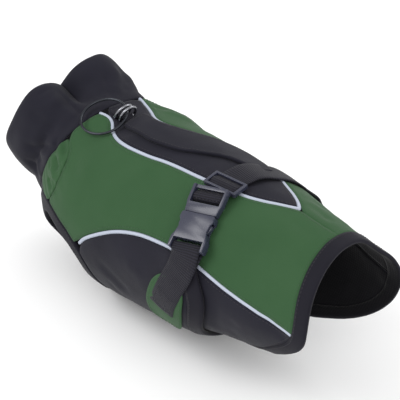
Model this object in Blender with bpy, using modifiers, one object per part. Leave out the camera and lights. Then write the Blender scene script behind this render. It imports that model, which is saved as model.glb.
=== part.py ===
"""Dog softshell coat, filled out as worn. Metres, +Z up, head toward -X, the coat's left side toward -Y.

The origin is where the wearer's back carries the coat: the inner face of the spine panel, mid back.
Each cloth piece is cut flat as a pattern, given its thickness, and wrapped round the body form.
A place on the form is a station (mm along the body), an angle (degrees from the top, + to the left
side) and a height (mm out from the form, which is the cloth's inner face).
"""

import math

import bmesh
import bpy
from mathutils import Matrix, Vector
from mathutils.geometry import delaunay_2d_cdt

MM = 0.001
COLLECTION = "dog_softshell_coat"
CUTTERS = "cutters"

# Cloth and trimmings, in mm
CLOTH = 2.0
SEAM_GAP = 0.2
PIPING_DIAMETER = 2.8
PIPING_HEIGHT = 1.3
PIPING_CLEAR = PIPING_DIAMETER / 2 + 0.6
BINDING_WIDTH = 12.0
BINDING_INSIDE = -0.5
BINDING_OUTSIDE = 2.7
HEM_CLEAR = 0.1
WEBBING_WIDTH = 25.0
WEBBING = 1.5
WEBBING_COLUMNS = (-WEBBING_WIDTH / 2, 0.0, WEBBING_WIDTH / 2)
LAID_ON = 0.7
FACE_SIZE = 11.0
BACK_FACE = 8.5
BELLY_FACE = 13.0
EDGE_STEP = 7.0
FLAT_PER_DEGREE = 1.25

NECK_STATION = -120.0
CENTRE_BACK = -5.0

# The body form: a row per section
BODY = (
    # station, centre_z, lean_deg, half_width, rise, fall
    (-120, -46.6, 27, 49.0, 49.0, 56.0),
    (-100, -57.6, 23, 62.0, 58.0, 70.0),
    (-75, -66.6, 13, 71.0, 67.0, 74.0),
    (-40, -72.6, 2, 74.0, 73.0, 72.0),
    (0, -73.6, 0, 74.0, 73.6, 65.5),
    (40, -71.6, 0, 72.0, 71.0, 62.0),
    (80, -67.6, 0, 67.5, 66.0, 49.5),
    (120, -61.6, 0, 60.5, 58.5, 49.0),
    (150, -58.6, 0, 55.5, 53.5, 46.0),
    (172, -56.6, 0, 53.5, 49.5, 45.0),
    (190, -56.0, 0, 54.0, 49.0, 46.0),
)

# Soft folds of the body: a row per fold, from one place to another; depth is + outwards
BODY_FOLDS = (
    # station_1, angle_1, station_2, angle_2, depth, half_breadth
    (-92, 14, -60, 12, -1.8, 13),
    (-70, 20, -20, 26, 1.2, 9),
    (-96, 50, -40, 72, -1.6, 11),
    (-96, -50, -40, -72, -1.6, 11),
    (-20, 92, 22, 104, -2.2, 10),
    (-20, -92, 22, -104, -2.2, 10),
    (94, 76, 100, 120, -2.6, 10),
    (94, -76, 100, -120, -2.6, 10),
    (100, 36, 150, 44, -1.4, 12),
    (105, -46, 215, -46, -4.5, 24),
    (-150, 134, -66, 136, 5.5, 26),
    (-150, -134, -66, -136, 5.5, 26),
    (-150, -46, -70, -46, 6.5, 26),
)

# Seams: a row per point that the curve runs through
SPINE_SEAM_LEFT = (
    # station, angle
    (-119.4, 12.5), (-112, 9), (-104, 10.5), (-94, 15.5), (-80, 19), (-62, 21.5), (-42, 22), (-19, 20),
    (0, 17), (20, 15.5), (40, 14), (68, 11), (84, 8), (98, 2.5), (108, -2), (115, -6),
)
SPINE_SEAM_RIGHT = (
    (-119.4, -36), (-108, -28), (-94, -20), (-75, -12), (-58, -9), (-43, -10), (-31, -13), (-20, -16.5),
    (-9, -22), (2, -29), (15, -34), (35, -35), (59, -29), (78, -23), (97, -16), (108, -10.5), (115, -6),
)
LOWER_SEAM = (
    (-50, 96), (-44, 89), (-36, 83), (-19, 74), (-4, 68), (12, 64), (27, 62), (49, 61.5), (75, 64),
    (91, 68), (111, 74), (131, 79), (149, 83.5), (160, 86), (171, 88.5), (182, 91),
)
# Free edge of the rear, under its binding: half of it, from below the belly to the centre back
REAR_EDGE = (
    # left_station, left_spread, right_station, right_spread (degrees from the centre back)
    (66, 152, 66, 152), (82, 150.5, 82, 152), (102, 145, 101, 149), (119, 137, 119, 143),
    (133, 127.5, 134, 137), (145, 118, 146, 129), (156, 109, 155, 119), (166.5, 99.5, 161, 107),
    (171.5, 90, 163.5, 94), (171.5, 78, 163.5, 80), (169, 66, 161.5, 66), (164.5, 48, 158.5, 48),
    (160, 29, 156, 29), (156.5, 11, 155, 11), (155.5, 0, 155.5, 0),
)
# Free edge of the belly band, half of it, from the lower seam to the middle of the belly
BAND_EDGE = (
    (67, 67.2), (68.5, 71), (74, 78), (78.5, 89), (76, 104), (69, 120), (62, 138), (58, 158), (57, 180),
)
# Stations where panels stop along their seams
BELLY_SEAM = (-47.5, 64.5)
LOWER_SEAM_START = -49.0
SPINE_PANEL_END = 109.0
SPINE_PANEL_TIP = (110.0, -7.25)
SPINE_PIPING_END = 110.0
# The spine piping's turn round its tip, in the flat pattern
SPINE_PIPING_TIP = ((113.0, -6.0), (114.2, -7.2), (113.2, -8.8))
# The centre-back seam behind the tip, from the side panels' first station there to their last
SIDE_PANEL_END = 115.0
CENTRE_SEAM = (119, 125, 132, 139, 145, 150)
# Line where the gathered strip meets the side panel
GATHER_LINE = ((-119.7, 49), (-108, 51.5), (-99, 63), (-94, 78), (-96, 91.5))
GATHER_END = 109.0

# Leg opening: an ellipse in the flat pattern, measured at the cloth's edge under the binding
LEG_STATION = -77.0
LEG_ANGLE = 125.0
LEG_HALF_LENGTH = 39.0
LEG_HALF_SPREAD = 34.0
LEG_POWER = 2.3
LEG_STEP = 8.0
LEG_CLEAR = 0.1
# Stretches of that edge that each piece has, by direction in degrees: 0 is tailward, 90 is down
LEG_OF_SIDE_PANEL = (-58, -114)
LEG_OF_GATHER = (-119, -153.5)
LEG_OF_BELLY = (204, -44)

# The belly band laps over the flank flaps
LAP_START = 38.0
LAP_END = 59.0
LAP_HEIGHT = 3.7
FLAP_START = 60.0

# Elastic gathers of the neck strips
GATHER_PITCH = 7.0
GATHER_HEIGHT = 1.4
GATHER_FACE = 3.6
# Angles over which the gathers rise at the upper end, and fade at the lower
GATHER_RISES = (50, 57)
GATHER_FADES = (100, 108)

# Raised harness strip on the spine panel
HARNESS_HEIGHT = 2.6
HARNESS = (
    # station, left_angle, right_angle
    (-84, 9, -8), (-73, 10, -8.5), (-58, 10.5, -6), (-43, 11, -7), (-30, 11, -10), (-15, 9, -15.5),
    (-2, 6, -22), (12, 0, -27), (24, -7, -29), (38, -11.5, -29), (52, -13, -27), (60, -14, -25),
)

# Green tab on the belly band, under the webbing's end
TAB_CLOTH = 1.3
TAB = (
    # station, angle
    (47, 79), (41, 84), (36.5, 92), (32.5, 102), (31, 111), (33, 120), (39, 126.5), (48, 129),
    (57, 126), (64, 118), (70, 107), (74, 95), (75, 86), (73, 79.5), (66, 75.5), (55, 75.5),
)

# Side-release buckle: its middle on the form, and the way it runs down the girth
BUCKLE_PLACE = (63.5, 38.5, 2.4)
BUCKLE_RUN = (13.5, 38.0)
# Halves of the buckle in its own frame, in mm: x down the girth, z out
LOCK_OUTLINE = (
    # x, half_width
    (-26.5, 14.9), (-25.9, 15.6), (-12.5, 15.6), (-8.5, 14.6), (-4.4, 14.2), (-3.5, 13.6),
)
FORK_OUTLINE = (
    # x, y of one prong and half the tongue
    (-6, 12.2), (2.8, 12.2), (4.8, 14.6), (6.8, 14.9), (10.4, 12.6), (11.4, 10.9), (10.6, 9.4),
    (-0.6, 8.8), (-2.4, 7.2), (-1.4, 4.2), (8.6, 3.6), (9.6, 2.4),
)
CATCH_OUTLINE = (
    # x, half_width
    (-3.0, 13.6), (-2.0, 14.6), (2.2, 15.0), (4.6, 13.4), (10.2, 12.8), (14.5, 14.0), (18.0, 15.6),
    (25.7, 15.6), (26.5, 14.9),
)
SLOT_HALF = 13.1
# Moulded bodies' undersides, tops and edge rounding, in the buckle's or slider's frame
LOCK_BODY = (0.6, 5.8, 0.8)
FORK_BODY = (2.1, 5.4, 0.5)
CATCH_BODY = (0.2, 7.4, 1.2)
SLIDER_BODY = (3.8, 7.3, 0.5)
# Slider: its middle on the form, its tilt and its size
SLIDER_PLACE = (57.6, 12.0, 0.0)
SLIDER_RUN = (1.6, 12.0)
SLIDER_TILT = 5.0
SLIDER_OUTLINE = ((-8.0, 14.9), (-7.4, 15.6), (7.4, 15.6), (8.0, 14.9))

# Girth webbing: on the form, from its sewn end on the right side over the back
GIRTH = (
    # station, angle, height of its underside
    (48.8, -104, 2.7), (51, -98, 2.7), (55, -90, 2.8), (62, -76, 3.3), (66, -66, 3.5), (68, -58, 3.8),
    (68, -48, 4.2), (66, -38, 5.4), (63, -28, 6.3), (60, -16, 6.2), (58.2, -6, 5.4), (57.5, 0.5, 4.0),
)
# then its middle line through the slider and the buckle's ladder lock, in their own frames
GIRTH_IN_SLIDER = (
    # x, z
    (-10.4, 4.0), (-7.6, 4.1), (-5.3, 4.4), (-3.4, 5.4), (-1.6, 6.5), (0, 6.75), (1.6, 6.5), (3.4, 5.4),
    (5.3, 4.4), (7.0, 4.1),
)
GIRTH_IN_LOCK = (
    # x, z
    (-23.3, -0.2), (-21.5, 2.2), (-19.6, 4.4), (-17.9, 4.8), (-16.2, 4.4), (-14.5, 2.6), (-14.2, 0.9),
    (-15.0, -0.3),
)
# Lower webbing: sewn under itself, round the buckle's end bar and down over the tab
TAIL_START = ((68.9, 68.2, 3.3), (70.2, 65.0, 3.5), (70.9, 62.4, 3.9))
TAIL_IN_CATCH = (
    # x, z
    (26.2, -0.5), (23.8, -0.1), (21.2, 0.5), (20.4, 2.5), (21.2, 4.6), (23.8, 5.2), (26.8, 4.8),
)
TAIL_END = (
    # station, angle, height of its underside
    (71.2, 61.5, 6.4), (70.8, 65.0, 5.8), (69.6, 69.0, 5.5), (67.0, 74, 5.1), (63.6, 79.5, 4.9),
    (60, 85.5, 4.8), (56.4, 91.5, 4.8), (52.4, 98, 4.8), (48.9, 104, 4.8),
)

# Collar: a tube along the neck from the neck seam
NECK_LEAN = 25.0
COLLAR_SIDES = 50
COLLAR = (
    # along, lean_deg, half_width, rise, fall
    (0, 27, 49.0, 49.0, 56.0),
    (12, 27, 48.0, 48.5, 53.0),
    (28, 25, 48.5, 49.5, 50.0),
    (42, 24, 50.0, 50.5, 50.0),
    (55, 24, 50.0, 49.5, 50.5),
)
# Cross-section of the collar's wall, which is doubled back at the rim
COLLAR_WALL = (
    # along, height
    (1.2, 0.0), (1.2, 2.0), (9, 2.1), (17, 2.2), (25, 2.4), (33, 2.7), (39.5, 3.0), (45, 3.2),
    (48.6, 2.7), (50.2, 1.0), (49.6, -1.0), (46.8, -1.8), (39, -1.4), (28, -0.9), (14, -0.3),
)
COLLAR_FOLDS = (
    # along_1, angle_1, along_2, angle_2, depth, half_breadth
    (72, 17, 20, 12, -24, 21),
    (60, 50, 28, 46, 3.0, 17),
    (60, -32, 30, -30, 3.5, 16),
    (42, -46, 6, -46, 3.0, 20),
    (60, 112, 26, 112, 3.5, 22),
    (17, 58, 15, 118, -5.0, 6),
    (30, 70, 28, 120, 2.5, 10),
    (52, -52, 24, -46, -3.0, 7),
    (17, -58, 15, -118, -4.0, 6),
    (20, 176, 52, 182, -5.0, 16),
)

# Two D-rings at the withers, their bars under one sewn loop of tape
DRING_STATIONS = (-104.0, -95.5)
DRING_ANGLE = 1.5
DRING_WIRE = 1.2
DRING_HALF = 7.5
DRING_RISE = 12.5
DRING_CORNER = 2.0
DRING_SEAT = 3.6
DRING_LEAN = 28.0
LOOP_ENDS = (-114.0, -88.5)
LOOP_HALF_WIDTH = 5.0
LOOP_TAPE = 1.2
LOOP_HUMP = 5.7
LOOP_HUMP_LENGTH = 4.8

# Leash ring through both D-rings, lying over to the left: its wire crosses between them
RING_RADIUS = 19.1
RING_WIRE = 1.15
RING_OUT = (0.07, -0.37, 1.0)
RING_TURN = 62.0
RING_HINGE = (-76.9, -0.2, 6.8)


def ease(value, low, high):
    """0 below low, 1 above high, and a smooth rise between them."""
    t = min(max((value - low) / (high - low), 0.0), 1.0)
    return t * t * (3 - 2 * t)


def row_at(rows, key):
    """The row of a table at a key, on a smooth curve through the rows."""
    last = len(rows) - 1
    i = 0
    while i < last - 1 and key > rows[i + 1][0]:
        i += 1
    a, b = rows[i], rows[i + 1]
    before, after = rows[max(i - 1, 0)], rows[min(i + 2, last)]
    span = b[0] - a[0]
    t = (key - a[0]) / span
    out = []
    for p0, p1, p2, p3 in zip(before, a, b, after):
        m1 = (p2 - p0) / (b[0] - before[0]) * span
        m2 = (p3 - p1) / (after[0] - a[0]) * span
        out.append(
            (2 * t**3 - 3 * t**2 + 1) * p1
            + (t**3 - 2 * t**2 + t) * m1
            + (3 * t**2 - 2 * t**3) * p2
            + (t**3 - t**2) * m2
        )
    return out


def curve_through(points, step):
    """Points about step apart on a smooth curve through the given ones, both in the flat pattern."""
    last = len(points) - 1
    out = [points[0]]
    for i in range(last):
        p0, p1, p2, p3 = (points[min(max(i + k, 0), last)] for k in (-1, 0, 1, 2))
        count = max(1, round(math.dist(p1, p2) / step))
        for n in range(1, count + 1):
            t = n / count
            out.append(tuple(
                0.5 * (2 * b + (c - a) * t + (2 * a - 5 * b + 4 * c - d) * t**2 + (3 * b - a - 3 * c + d) * t**3)
                for a, b, c, d in zip(p0, p1, p2, p3)
            ))
    return out


def flat(rows, side=1.0):
    """Places (station, angle) as points of the flat pattern, on the left side or mirrored to the right."""
    return [(station, side * angle * FLAT_PER_DEGREE) for station, angle in rows]


def shifted(points, distance):
    """A line of the flat pattern moved sideways: + is to the left of its run."""
    out = []
    for i, (x, y) in enumerate(points):
        before, after = points[max(i - 1, 0)], points[min(i + 1, len(points) - 1)]
        dx, dy = after[0] - before[0], after[1] - before[1]
        length = math.hypot(dx, dy)
        out.append((x - dy / length * distance, y + dx / length * distance))
    return out


def fold_height(folds, a, b):
    """How far the folds of a table move the cloth at a point of its flat pattern."""
    height = 0.0
    for a1, b1, a2, b2, depth, breadth in folds:
        b1, b2 = b1 * FLAT_PER_DEGREE, b2 * FLAT_PER_DEGREE
        run = (a2 - a1, b2 - b1)
        length = math.hypot(*run)
        along = ((a - a1) * run[0] + (b - b1) * run[1]) / length
        across = ((b - b1) * run[0] - (a - a1) * run[1]) / length
        ends = ease(along, -0.35 * length, 0.3 * length) * (1 - ease(along, 0.7 * length, 1.35 * length))
        height += depth * ends * math.exp(-((across / breadth) ** 2))
    return height


def form_point(station, angle):
    """A point of the body form, in mm."""
    _, centre_z, lean, half_width, rise, fall = row_at(BODY, station)
    lean, around = math.radians(lean), math.radians(angle)
    turned = (angle + 180) % 360 - 180
    fold = fold_height(BODY_FOLDS, station, turned * FLAT_PER_DEGREE)
    up = (rise if math.cos(around) > 0 else fall) + fold
    up *= math.cos(around)
    side = (half_width + fold) * math.sin(around)
    return Vector((station + up * math.sin(lean), -side, centre_z + up * math.cos(lean)))


def wrapped(station, angle, height, form=form_point):
    """A place on a form as a point in metres, moved out along the form's own normal."""
    nudge = 0.4
    along = form(station + nudge, angle) - form(station - nudge, angle)
    around = form(station, angle + nudge) - form(station, angle - nudge)
    normal = around.cross(along).normalized()
    return (form(station, angle) + normal * height) * MM


def material(name, colour, roughness, metallic=0.0):
    found = bpy.data.materials.get(name)
    if found:
        return found
    made = bpy.data.materials.new(name)
    made.use_nodes = True
    shader = made.node_tree.nodes["Principled BSDF"]
    shader.inputs["Base Color"].default_value = (*colour, 1.0)
    shader.inputs["Roughness"].default_value = roughness
    shader.inputs["Metallic"].default_value = metallic
    return made


def green_cloth(name):
    return material(name + "_green_softshell", (0.06, 0.15, 0.065), 0.75)


def black_cloth(name):
    return material(name + "_black_softshell", (0.028, 0.024, 0.033), 0.8)


def black_tape(name):
    return material(name + "_black_tape", (0.02, 0.018, 0.023), 0.85)


def grey_reflective(name):
    return material(name + "_reflective_piping", (0.52, 0.56, 0.66), 0.35)


def black_acetal(name):
    return material(name + "_black_acetal", (0.03, 0.031, 0.038), 0.3)


def nickel(name):
    return material(name + "_nickel", (0.6, 0.6, 0.62), 0.3, 1.0)


def dark_steel(name):
    return material(name + "_dark_steel", (0.07, 0.075, 0.085), 0.35, 1.0)


def keep(name, mesh, finish, smooth_deg=40.0):
    """Makes a mesh the named sub-part."""
    part = bpy.data.objects.new(name, mesh)
    bpy.data.collections[COLLECTION].objects.link(part)
    mesh.materials.append(finish(name))
    mesh.shade_smooth()
    mesh.set_sharp_from_angle(angle=math.radians(smooth_deg))
    return part


def mesh_of(work, name):
    """A bmesh as a mesh with its faces out."""
    bmesh.ops.recalc_face_normals(work, faces=work.faces)
    if work.calc_volume(signed=True) < 0:
        bmesh.ops.reverse_faces(work, faces=work.faces)
    mesh = bpy.data.meshes.new(name)
    work.to_mesh(mesh)
    work.free()
    return mesh


def inside(point, outline):
    """Whether a point lies in a closed outline."""
    x, y = point
    hit = False
    for (x1, y1), (x2, y2) in zip(outline, outline[1:] + outline[:1]):
        if (y1 > y) != (y2 > y) and x < x1 + (y - y1) / (y2 - y1) * (x2 - x1):
            hit = not hit
    return hit


def room(point, outline):
    """The distance from a point to the nearest stretch of an outline."""
    nearest = math.inf
    for (x1, y1), (x2, y2) in zip(outline, outline[1:] + outline[:1]):
        dx, dy = x2 - x1, y2 - y1
        t = ((point[0] - x1) * dx + (point[1] - y1) * dy) / max(dx * dx + dy * dy, 1e-9)
        t = min(max(t, 0.0), 1.0)
        nearest = min(nearest, math.hypot(point[0] - x1 - t * dx, point[1] - y1 - t * dy))
    return nearest


def cut_piece(name, outline, finish, low=0.0, thick=CLOTH, lift=None, face=FACE_SIZE):
    """Cuts a piece from flat cloth along its outline, gives it its thickness and wraps it round the form."""
    xs, ys = [p[0] for p in outline], [p[1] for p in outline]
    points = [Vector(p) for p in outline]
    rows = math.ceil((max(ys) - min(ys)) / face)
    columns = math.ceil((max(xs) - min(xs)) / face)
    for j in range(rows):
        for i in range(columns):
            spot = (min(xs) + (i + 0.5 + 0.25 * (-1) ** j) * face, min(ys) + (j + 0.5) * face)
            if inside(spot, outline) and room(spot, outline) > 0.5 * face:
                points.append(Vector(spot))
    ring = list(range(len(outline)))
    found, _, faces, *_ = delaunay_2d_cdt(points, [], [ring], 1, 1e-5)
    work = bmesh.new()
    verts = [work.verts.new((p.x, p.y, 0.0)) for p in found]
    for corners in faces:
        work.faces.new([verts[i] for i in corners])
    raised = bmesh.ops.extrude_face_region(work, geom=list(work.faces), use_keep_orig=True)
    for item in raised["geom"]:
        if isinstance(item, bmesh.types.BMVert):
            item.co.z = thick
    for vert in work.verts:
        station, angle = vert.co.x, vert.co.y / FLAT_PER_DEGREE
        raise_by = lift(station, angle) if lift else 0.0
        vert.co = wrapped(station, angle, low + vert.co.z + raise_by)
    return keep(name, mesh_of(work, name), finish)


def ribbon(name, path, finish, edges, lift=None, closed=False, smooth_deg=40.0):
    """A tape along a line of the flat pattern; edges are its cross-section, (across, height) in mm."""
    count = len(path)
    work = bmesh.new()
    rings = []
    for i, (x, y) in enumerate(path):
        before = path[i - 1] if i or closed else path[0]
        after = path[(i + 1) % count] if i < count - 1 or closed else path[-1]
        dx, dy = after[0] - before[0], after[1] - before[1]
        length = math.hypot(dx, dy)
        ring = []
        for across, height in edges:
            station, along = x - dy / length * across, y + dx / length * across
            angle = along / FLAT_PER_DEGREE
            raise_by = lift(station, angle) if lift else 0.0
            ring.append(work.verts.new(wrapped(station, angle, height + raise_by)))
        rings.append(ring)
    following = rings[1:] + (rings[:1] if closed else [])
    for ring, after in zip(rings, following):
        for k in range(len(edges)):
            k2 = (k + 1) % len(edges)
            work.faces.new((ring[k], ring[k2], after[k2], after[k]))
    if not closed:
        work.faces.new(rings[0])
        work.faces.new(rings[-1])
    return keep(name, mesh_of(work, name), finish, smooth_deg)


def cord_object(name, points, radius, finish, cyclic=False, frame=Matrix(), roundness=2):
    """A round cord or wire through points in metres, in a frame."""
    line = bpy.data.curves.new(name, "CURVE")
    line.dimensions = "3D"
    line.bevel_depth = radius * MM
    line.bevel_resolution = roundness
    line.use_fill_caps = not cyclic
    spline = line.splines.new("POLY")
    spline.points.add(len(points) - 1)
    for spot, place in zip(spline.points, points):
        spot.co = (*place, 1.0)
    spline.use_cyclic_u = cyclic
    part = bpy.data.objects.new(name, line)
    bpy.data.collections[COLLECTION].objects.link(part)
    line.materials.append(finish(name))
    part.matrix_world = frame
    return part


def leg_edge(start, end, inset=0.0, side=1.0):
    """Part of the leg opening's edge, by direction in degrees: 0 is tailward, 90 is down."""
    points = []
    count = max(2, round(abs(end - start) / LEG_STEP))
    for n in range(count + 1):
        turn = math.radians(start + (end - start) * n / count)
        c, s = math.cos(turn), math.sin(turn)
        x = math.copysign(abs(c) ** (2 / LEG_POWER), c) * (LEG_HALF_LENGTH - inset)
        y = math.copysign(abs(s) ** (2 / LEG_POWER), s) * (LEG_HALF_SPREAD * FLAT_PER_DEGREE - inset)
        points.append((LEG_STATION + x, side * (LEG_ANGLE * FLAT_PER_DEGREE + y)))
    return points


def band_lift(station, angle):
    """How far the belly panel stands off the form where it laps over the flank flaps."""
    return LAP_HEIGHT * ease(station, LAP_START, LAP_END)


def rear_edge(side):
    """The rear free edge on one side in the flat pattern, from under the belly to the centre back."""
    full = REAR_EDGE[0][1]
    points = []
    for row in REAR_EDGE:
        station, spread = row[:2] if side > 0 else row[2:]
        angle = CENTRE_BACK * (1 - spread / full) + side * spread
        points.append((station, angle * FLAT_PER_DEGREE))
    return curve_through(points, EDGE_STEP)


def upper_seam(side, clear):
    """The spine seam, moved off its piping toward the side panel."""
    rows = SPINE_SEAM_LEFT if side > 0 else SPINE_SEAM_RIGHT
    return shifted(curve_through(flat(rows), EDGE_STEP), side * clear)


def lower_seam(side, clear):
    """The lower seam, moved off its piping: + is down, away from the side panel."""
    return shifted(curve_through(flat(LOWER_SEAM, side), EDGE_STEP), side * clear)


def hem_corner(side, clear):
    """Where a panel's edge beside the lower seam meets the hem: clear is + below the piping."""
    rear = rear_edge(side)
    seam = lower_seam(side, clear)
    for (x1, y1), (x2, y2) in zip(seam, seam[1:]):
        for (u1, v1), (u2, v2) in zip(rear, rear[1:]):
            across = (x2 - x1) * (v2 - v1) - (y2 - y1) * (u2 - u1)
            t = ((u1 - x1) * (v2 - v1) - (v1 - y1) * (u2 - u1)) / across
            s = ((u1 - x1) * (y2 - y1) - (v1 - y1) * (x2 - x1)) / across
            if 0 <= t <= 1 and 0 <= s <= 1:
                return (x1 + t * (x2 - x1) - HEM_CLEAR, y1 + t * (y2 - y1))
    return None


def crosswise(station, start, end):
    """Points at one station between two places of the flat pattern, leaving out both ends."""
    count = round(abs(end - start) / EDGE_STEP)
    return [(station, start + (end - start) * n / count) for n in range(1, count)]


def neck_edge(start, end):
    """The same along the neck seam."""
    return crosswise(NECK_STATION + SEAM_GAP, start, end)


def spine_panel():
    left = [p for p in upper_seam(1, -PIPING_CLEAR) if p[0] < SPINE_PANEL_END]
    right = [p for p in upper_seam(-1, -PIPING_CLEAR) if p[0] < SPINE_PANEL_END]
    outline = neck_edge(right[1][1], left[1][1]) + left[1:] + [SPINE_PANEL_TIP] + right[:0:-1]
    return cut_piece("spine_panel", outline, black_cloth, face=BACK_FACE)


def side_panel(name, side):
    centre = CENTRE_BACK * FLAT_PER_DEGREE + side * SEAM_GAP
    top = [p for p in upper_seam(side, PIPING_CLEAR) if NECK_STATION + 1 < p[0] < SIDE_PANEL_END]
    top = [p for p in top if side * (p[1] - centre) > 0.5 or p[0] < 90]
    corner = hem_corner(side, -PIPING_CLEAR)
    hem = [(x - HEM_CLEAR, y) for x, y in rear_edge(side)[::-1] if abs(y) < abs(corner[1]) - 2]
    hem[0] = (hem[0][0], centre)
    hem.append(corner)
    seam = [p for p in lower_seam(side, -PIPING_CLEAR) if LOWER_SEAM_START < p[0] < corner[0] - 2]
    leg = leg_edge(*LEG_OF_SIDE_PANEL, -LEG_CLEAR, side)
    gather = shifted(curve_through(flat(GATHER_LINE, side), EDGE_STEP), -side * SEAM_GAP)
    gather = [p for p in gather if p[0] > NECK_STATION + 0.6][::-1]
    gather = [p for p in gather if room(p, leg) > 2.0]
    neck = neck_edge(gather[-1][1], top[0][1])
    back = [(x, centre) for x in CENTRE_SEAM]
    outline = top + back + hem + seam[::-1] + leg + gather + neck
    return cut_piece(name, outline, green_cloth)


def gather_lift(station, angle):
    """The puckers that the elastic pulls into a neck strip."""
    swell = 0.5 - 0.5 * math.cos(math.tau * angle / GATHER_PITCH)
    ends = ease(abs(angle), *GATHER_RISES) * (1 - ease(abs(angle), *GATHER_FADES))
    return GATHER_HEIGHT * swell * ends * ease(station, NECK_STATION, NECK_STATION + 5)


def gather_strip(name, side):
    line = shifted(curve_through(flat(GATHER_LINE, side), 3.5), side * 2.5 * SEAM_GAP)
    leg = leg_edge(*LEG_OF_GATHER, -LEG_CLEAR, side)
    line = [p for p in line if p[0] > NECK_STATION + 0.6 and room(p, leg) > 1.5]
    low = side * (GATHER_END - 0.3) * FLAT_PER_DEGREE
    end = [(leg[-1][0] - 2, low), (NECK_STATION + 3, low), (NECK_STATION + SEAM_GAP, low)]
    outline = line + leg + end + neck_edge(low, line[0][1])
    return cut_piece(name, outline, green_cloth, lift=gather_lift, face=GATHER_FACE)


def belly_panel():
    """The chest and belly in one piece, from the neck seam between the legs to the bound edge behind."""
    low = (GATHER_END + 0.2) * FLAT_PER_DEGREE
    leg = leg_edge(*LEG_OF_BELLY, -LEG_CLEAR)
    seam = [p for p in lower_seam(1, PIPING_CLEAR) if BELLY_SEAM[0] < p[0] < BELLY_SEAM[1]]
    band = curve_through(flat(BAND_EDGE), EDGE_STEP)
    half = [(leg[0][0] - 2, low)] + leg + seam + band
    whole_turn = 360 * FLAT_PER_DEGREE
    other = [(x, whole_turn - y) for x, y in half[-2::-1]]
    front = NECK_STATION + SEAM_GAP
    neck = [(front, whole_turn - low)] + neck_edge(whole_turn - low, low) + [(front, low)]
    return cut_piece("belly_panel", half + other + neck, black_cloth, lift=band_lift, face=BELLY_FACE)


def flank_flap(name, side):
    """The lower rear panel, which tucks behind the belly band and hangs free below."""
    corner = hem_corner(side, PIPING_CLEAR)
    seam = [p for p in lower_seam(side, PIPING_CLEAR) if FLAP_START < p[0] < corner[0] - 2]
    free = [p for p in rear_edge(side)[::-1] if abs(p[1]) > abs(corner[1]) + 2]
    low = free[-1][1]
    front = [(FLAP_START, low)] + crosswise(FLAP_START, low, seam[0][1])
    return cut_piece(name, seam + [corner] + free + front, black_cloth)


def binding_section(half):
    """Cross-section of a folded binding tape, rounded at its outer edge."""
    return (
        (-half, BINDING_INSIDE), (half - 0.8, BINDING_INSIDE), (half, BINDING_INSIDE + 0.9),
        (half, BINDING_OUTSIDE - 0.9), (half - 0.8, BINDING_OUTSIDE), (-half, BINDING_OUTSIDE),
    )


def rear_binding():
    left, right = rear_edge(1), rear_edge(-1)
    half = BINDING_WIDTH / 2
    path = shifted(left + right[-2::-1], half + 0.3)
    return ribbon("hem_binding", path, black_tape, binding_section(half))


def leg_binding(name, side):
    half = BINDING_WIDTH / 2 - 0.2
    path = leg_edge(0, 360 - LEG_STEP, half + 0.35, side)
    section = [(side * across, height) for across, height in binding_section(half)]
    return ribbon(name, path, black_tape, section, closed=True)


def band_binding():
    half = BINDING_WIDTH / 2
    left = curve_through(flat(BAND_EDGE), EDGE_STEP)
    whole_turn = 360 * FLAT_PER_DEGREE
    right = [(x, whole_turn - y) for x, y in left[-2::-1]]
    path = shifted(left + right, -half - 0.3)
    section = tuple((-across, height) for across, height in binding_section(half))
    return ribbon("belly_binding", path, black_tape, section, lift=band_lift)


def spine_piping():
    """One cord down the left seam, round the tip and back up the right seam."""
    left = [p for p in curve_through(flat(SPINE_SEAM_LEFT), EDGE_STEP) if p[0] < SPINE_PIPING_END]
    right = [p for p in curve_through(flat(SPINE_SEAM_RIGHT), EDGE_STEP) if p[0] < SPINE_PIPING_END]
    path = left + list(SPINE_PIPING_TIP) + right[::-1]
    points = [wrapped(x, y / FLAT_PER_DEGREE, PIPING_HEIGHT) for x, y in path]
    return cord_object("spine_piping", points, PIPING_DIAMETER / 2, grey_reflective, roundness=1)


def lower_piping(name, side):
    x, y = hem_corner(side, 0.0)
    path = curve_through(flat(LOWER_SEAM, side), EDGE_STEP)
    path = [p for p in path if LOWER_SEAM_START < p[0] < x - EDGE_STEP / 2]
    path.append((x - PIPING_DIAMETER / 4, y))
    points = [wrapped(x, y / FLAT_PER_DEGREE, PIPING_HEIGHT) for x, y in path]
    return cord_object(name, points, PIPING_DIAMETER / 2, grey_reflective, roundness=1)


def harness_strip():
    left = curve_through([(s, a * FLAT_PER_DEGREE) for s, a, _ in HARNESS], EDGE_STEP)
    right = curve_through([(s, a * FLAT_PER_DEGREE) for s, _, a in HARNESS], EDGE_STEP)
    front = crosswise(HARNESS[0][0], right[0][1], left[0][1])
    back = crosswise(HARNESS[-1][0], left[-1][1], right[-1][1])
    outline = left + back + right[::-1] + front
    return cut_piece("harness_strip", outline, black_cloth, CLOTH + LAID_ON, HARNESS_HEIGHT, face=BACK_FACE)


def tab_lift(station, angle):
    """The belly band's own rise below the lower seam, and none above it."""
    return band_lift(station, angle) * ease(abs(angle), 50, 60)


def strap_tab():
    outline = curve_through(flat(TAB + TAB[:1]), 5.0)[:-1]
    return cut_piece("strap_tab", outline, green_cloth, CLOTH + LAID_ON, TAB_CLOTH, tab_lift)


def seat(place, run, tilt=0.0):
    """The frame of a hard piece at a place on the form: X along its run, Z out from the cloth."""
    station, angle, height = place
    here = wrapped(station, angle, height)
    ahead = wrapped(station + run[0] * 0.01, angle + run[1] * 0.01, height)
    out = (wrapped(station, angle, height + 1) - here).normalized()
    along = ahead - here
    along = (along - out * along.dot(out)).normalized()
    frame = Matrix((along, out.cross(along), out)).transposed().to_4x4()
    frame.translation = here
    return frame @ Matrix.Rotation(-math.radians(tilt), 4, "Y")


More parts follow.
